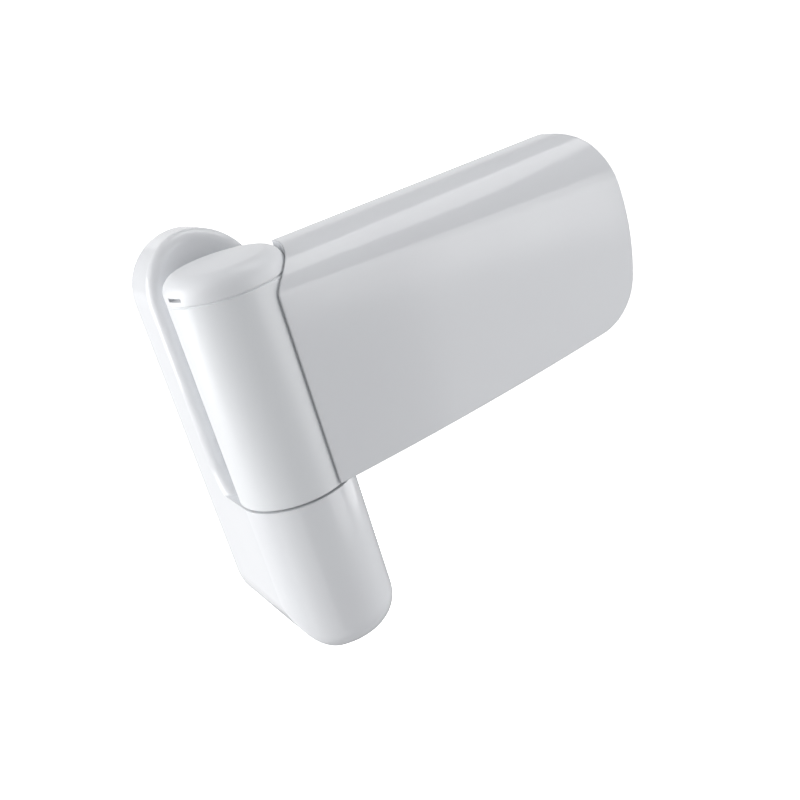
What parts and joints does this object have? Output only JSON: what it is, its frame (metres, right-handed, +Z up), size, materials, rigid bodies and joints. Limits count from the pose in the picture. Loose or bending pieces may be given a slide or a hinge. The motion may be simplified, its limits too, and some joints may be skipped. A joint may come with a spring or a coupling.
{
  "type": "flag hinge",
  "caption": "Flag hinge for a framed door: a scooped frame leaf carries the pin, and a long flag fixed to the sash swings on it, with height and side adjusters under clip-on covers.",
  "frame": {"origin": "on the frame leaf's mounting face, straight behind the pin, level with the top of the lower knuckle", "axes": "+X along the closed flag, +Y out of the mounting face into the door frame, +Z up the pin"},
  "size_m": [0.1006, 0.036, 0.0885],
  "materials": {
    "moulded_white": "smooth white moulding, glossy",
    "white_powder_coat": "white powder coat on a zinc casting, glossy",
    "zinc_casting": "bare die-cast zinc, satin",
    "plated_steel": "bright zinc plate",
    "pin_steel": "ground stainless steel",
    "acetal": "natural acetal, smooth"
  },
  "bodies": {
    "frame": {"frame_bracket": "zinc_casting", "frame_cover": "moulded_white", "barrel_bush": "acetal", "pin_lock_screw": "plated_steel", "bottom_plug": "moulded_white"},
    "pin": {"hinge_pin": "pin_steel"},
    "height_screw": {"height_screw": "plated_steel"},
    "flag": {"flag_arm": "white_powder_coat", "lower_bush": "acetal", "upper_bush": "acetal", "thrust_disc": "pin_steel", "top_plug": "plated_steel", "top_cap": "moulded_white", "flag_cover": "moulded_white"},
    "sash_plate": {"sash_plate": "plated_steel", "clamp_screws": "plated_steel", "clamp_washers": "plated_steel"},
    "lateral_screw": {"lateral_screw": "plated_steel"}
  },
  "joints": [
    {"name": "height_adjust", "type": "slide", "parent": "frame", "child": "pin", "axis": [0, 0, 1], "range_m": [0, 0.004]},
    {"name": "height_screw_turn", "type": "hinge", "parent": "pin", "child": "height_screw", "pos_m": [0, -0.024, -0.02], "axis": [0, 0, 1], "range_deg": [0, 1440]},
    {"name": "door_swing", "type": "hinge", "parent": "pin", "child": "flag", "pos_m": [0, -0.024, 0.022], "axis": [0, 0, 1], "range_deg": [-160, 0]},
    {"name": "lateral_adjust", "type": "slide", "parent": "flag", "child": "sash_plate", "axis": [1, 0, 0], "range_m": [-0.003, 0.003]},
    {"name": "lateral_screw_turn", "type": "hinge", "parent": "flag", "child": "lateral_screw", "pos_m": [0.075, -0.0286, 0.024], "axis": [-1, 0, 0], "range_deg": [-1350, 1350]}
  ],
  "couplings": [
    {"joint": "height_screw_turn", "follows": "height_adjust", "rad_per_m": 6283.2},
    {"joint": "lateral_screw_turn", "follows": "lateral_adjust", "rad_per_m": 7854}
  ]
}
